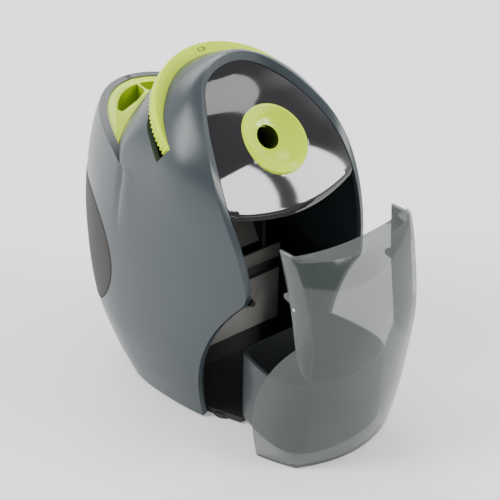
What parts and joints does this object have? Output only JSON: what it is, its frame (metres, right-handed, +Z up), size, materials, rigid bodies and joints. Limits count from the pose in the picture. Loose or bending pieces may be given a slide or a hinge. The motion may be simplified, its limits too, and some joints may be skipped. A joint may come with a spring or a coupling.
{
  "type": "electric pencil sharpener",
  "caption": "Desktop electric pencil sharpener with a pull-out shavings bin, a pencil cup, a point selector ring and a motor-driven helical cutter.",
  "frame": {"origin": "middle of the footprint with the bin pulled out as drawn, at the height of the table", "axes": "+Z up, the entry funnel and the bin face -Y, and X = 0 is the plane where the side shells meet"},
  "size_m": [0.1008, 0.1863, 0.162],
  "materials": {
    "shell": "satin",
    "lime": "satin",
    "gloss_black": "gloss",
    "dark_plastic": "satin",
    "grey_plastic": "satin",
    "rubber": "matte",
    "smoke": "translucent",
    "steel": "ground",
    "zinc": "plated",
    "brass": "satin",
    "white_plastic": "moulded",
    "board": "solder mask",
    "component": "moulded"
  },
  "bodies": {
    "housing": {"left_shell": "shell", "right_shell": "shell", "front_panel": "gloss_black", "entry_funnel": "lime", "pencil_cup": "lime", "left_grip": "rubber", "right_grip": "rubber", "base_plate": "dark_plastic", "rubber_feet": "rubber", "cord_gland": "dark_plastic", "chassis_frame": "dark_plastic", "chute_plate": "grey_plastic", "cutter_housing": "dark_plastic", "annulus_gear": "steel", "front_bush": "brass", "rear_bush": "brass", "idler_axle": "steel", "motor_can": "zinc", "motor_end_cap": "dark_plastic", "motor_screws": "steel", "lever_pin": "steel", "lever_spring": "steel", "start_switch": "gloss_black", "interlock_switch": "gloss_black", "plunger_spring": "steel", "circuit_board": "board", "board_parts": "component", "shell_screws": "steel", "base_screws": "steel"},
    "bin": {"bin_cover": "smoke", "bin_tray": "smoke"},
    "selector": {"selector_dial": "lime"},
    "stop": {"point_stop": "lime"},
    "carrier": {"cutter_carrier": "steel", "carrier_gear": "white_plastic", "cutter_axle": "steel"},
    "cutter": {"helical_cutter": "steel", "cutter_gear": "steel"},
    "idler": {"idler_gear": "white_plastic"},
    "rotor": {"motor_pinion": "brass", "motor_shaft": "steel"},
    "lever": {"start_lever": "dark_plastic"},
    "plunger": {"interlock_plunger": "lime"}
  },
  "joints": [
    {"name": "bin_slide", "type": "slide", "parent": "housing", "child": "bin", "axis": [0, -1, 0], "range_m": [-0.0367, 0.055]},
    {"name": "dial_turn", "type": "hinge", "parent": "housing", "child": "selector", "pos_m": [0, -0.0045, 0.1341], "axis": [0, -0.6088, 0.7934], "range_deg": [-25, 25]},
    {"name": "stop_slide", "type": "slide", "parent": "housing", "child": "stop", "axis": [0, 0.8829, -0.4695], "range_m": [-0.0015, 0.0015]},
    {"name": "carrier_spin", "type": "hinge", "parent": "housing", "child": "carrier", "pos_m": [0, -0.0193, 0.1315], "axis": [0, 0.8829, -0.4695], "continuous": true},
    {"name": "cutter_spin", "type": "hinge", "parent": "carrier", "child": "cutter", "pos_m": [0, -0.01479, 0.13998], "axis": [0, 0.8829, -0.4695], "continuous": true},
    {"name": "idler_spin", "type": "hinge", "parent": "housing", "child": "idler", "pos_m": [0, -0.03245, 0.10678], "axis": [0, 0.8829, -0.4695], "continuous": true},
    {"name": "rotor_spin", "type": "hinge", "parent": "housing", "child": "rotor", "pos_m": [0, -0.03996, 0.09265], "axis": [0, 0.8829, -0.4695], "continuous": true},
    {"name": "lever_swing", "type": "hinge", "parent": "housing", "child": "lever", "pos_m": [0, 0.00275, 0.13676], "axis": [1, 0, 0], "range_deg": [0, 8], "stiffness_Nm_per_rad": 0.004, "springref_deg": -8.59},
    {"name": "plunger_slide", "type": "slide", "parent": "housing", "child": "plunger", "axis": [0, 1, 0], "range_m": [0, 0.002], "stiffness_N_per_m": 60, "springref_m": -0.003, "deforming": ["plunger_spring"]}
  ],
  "couplings": [
    {"joint": "stop_slide", "follows": "dial_turn", "m_per_rad": 0.0034},
    {"joint": "cutter_spin", "follows": "carrier_spin", "ratio": -3},
    {"joint": "idler_spin", "follows": "carrier_spin", "ratio": -1.3333},
    {"joint": "rotor_spin", "follows": "carrier_spin", "ratio": 4}
  ]
}
